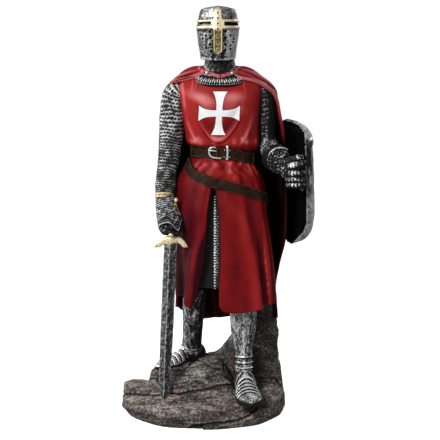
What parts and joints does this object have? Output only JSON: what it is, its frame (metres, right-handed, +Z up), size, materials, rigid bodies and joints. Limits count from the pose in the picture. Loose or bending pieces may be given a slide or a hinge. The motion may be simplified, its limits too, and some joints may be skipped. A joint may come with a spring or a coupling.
{
  "type": "knight statuette",
  "caption": "Painted resin statuette of a standing knight in great helm, mail, surcoat and cape, with a lowered sword and a shield, on a rock base.",
  "frame": {"origin": "middle of the flat underside of the rock base", "axes": "+Z up along the figure, the knight faces -Y, the shield arm is at +X"},
  "size_m": [0.1413, 0.1015, 0.3],
  "materials": {
    "red_paint": "satin red paint on cast resin, darker in the folds",
    "cape_paint": "satin dark red paint on cast resin, black where it is shaded",
    "mail_paint": "black paint with silver brushed over the raised rings",
    "steel_paint": "silver paint rubbed over black",
    "shield_paint": "black paint with silver brushed over the outer face and the border",
    "gold_paint": "pale gold metallic paint",
    "belt_paint": "dark brown paint, leather look",
    "buckle_paint": "pale silver paint",
    "white_paint": "white paint",
    "black_paint": "satin black paint",
    "rock_paint": "grey-brown paint with pale dry brushing, stone look"
  },
  "bodies": {
    "root": {"knight_and_rock": "red_paint", "sword": "steel_paint", "shield": "shield_paint"}
  },
  "joints": []
}
